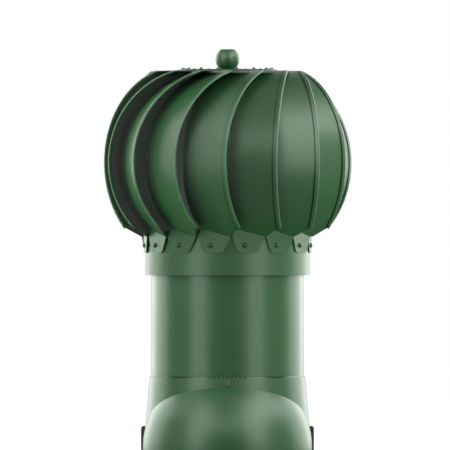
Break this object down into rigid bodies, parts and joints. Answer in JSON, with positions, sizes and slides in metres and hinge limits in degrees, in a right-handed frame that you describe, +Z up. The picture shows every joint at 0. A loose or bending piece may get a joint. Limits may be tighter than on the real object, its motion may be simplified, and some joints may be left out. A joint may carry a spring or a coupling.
{
  "type": "roof turbine ventilator",
  "caption": "Wind-driven roof turbine: curved sheet blades riveted to a spinning sleeve, on a pipe with tapered collar and square roof flange with a rounded front hood.",
  "frame": {"origin": "on the pipe's axis at the underside of the roof flange", "axes": "+Z up along the pipe's axis, -Y towards the front hood, +X to the right seen from the front"},
  "size_m": [0.33, 0.33, 0.4659],
  "materials": {
    "sheet_green": "satin",
    "knob_green": "satin",
    "rivet_green": "satin",
    "pipe_green": "satin",
    "collar_green": "satin",
    "base_green": "satin",
    "seal_rubber": "matte",
    "hub_aluminium": "machined",
    "bracket_steel": "zinc plated",
    "axle_steel": "turned",
    "bearing_steel": "ground"
  },
  "bodies": {
    "stator": {"roof_flange": "base_green", "roof_base": "base_green", "pipe_collar": "collar_green", "pipe_seal": "seal_rubber", "vent_pipe": "pipe_green", "axle_bracket": "bracket_steel", "bracket_rivets": "rivet_green", "axle": "axle_steel", "axle_bottom_washer": "axle_steel", "axle_bottom_nut": "axle_steel", "axle_top_washer": "axle_steel", "axle_top_nut": "axle_steel", "upper_bearing_inner_race": "bearing_steel", "lower_bearing_inner_race": "bearing_steel", "inner_bearing_spacer": "axle_steel"},
    "rotor": {"turbine_blade_01": "sheet_green", "turbine_blade_02": "sheet_green", "turbine_blade_03": "sheet_green", "turbine_blade_04": "sheet_green", "turbine_blade_05": "sheet_green", "turbine_blade_06": "sheet_green", "turbine_blade_07": "sheet_green", "turbine_blade_08": "sheet_green", "turbine_blade_09": "sheet_green", "turbine_blade_10": "sheet_green", "turbine_blade_11": "sheet_green", "turbine_blade_12": "sheet_green", "turbine_blade_13": "sheet_green", "turbine_blade_14": "sheet_green", "turbine_blade_15": "sheet_green", "crown_plate": "sheet_green", "crown_rivets": "rivet_green", "ball_knob": "knob_green", "rotor_sleeve": "sheet_green", "sleeve_rivets": "rivet_green", "bearing_hub": "hub_aluminium", "upper_bearing_outer_race": "bearing_steel", "lower_bearing_outer_race": "bearing_steel", "outer_bearing_spacer": "axle_steel", "retaining_ring": "axle_steel"},
    "upper_cage": {"upper_bearing_balls": "bearing_steel"},
    "lower_cage": {"lower_bearing_balls": "bearing_steel"}
  },
  "joints": [
    {"name": "rotor_spin", "type": "hinge", "parent": "stator", "child": "rotor", "pos_m": [0, 0, 0.42], "axis": [0, 0, 1], "continuous": true},
    {"name": "upper_cage_spin", "type": "hinge", "parent": "stator", "child": "upper_cage", "pos_m": [0, 0, 0.4195], "axis": [0, 0, 1], "continuous": true},
    {"name": "lower_cage_spin", "type": "hinge", "parent": "stator", "child": "lower_cage", "pos_m": [0, 0, 0.3895], "axis": [0, 0, 1], "continuous": true}
  ],
  "couplings": [
    {"joint": "upper_cage_spin", "follows": "rotor_spin", "ratio": 0.619},
    {"joint": "lower_cage_spin", "follows": "rotor_spin", "ratio": 0.619}
  ]
}
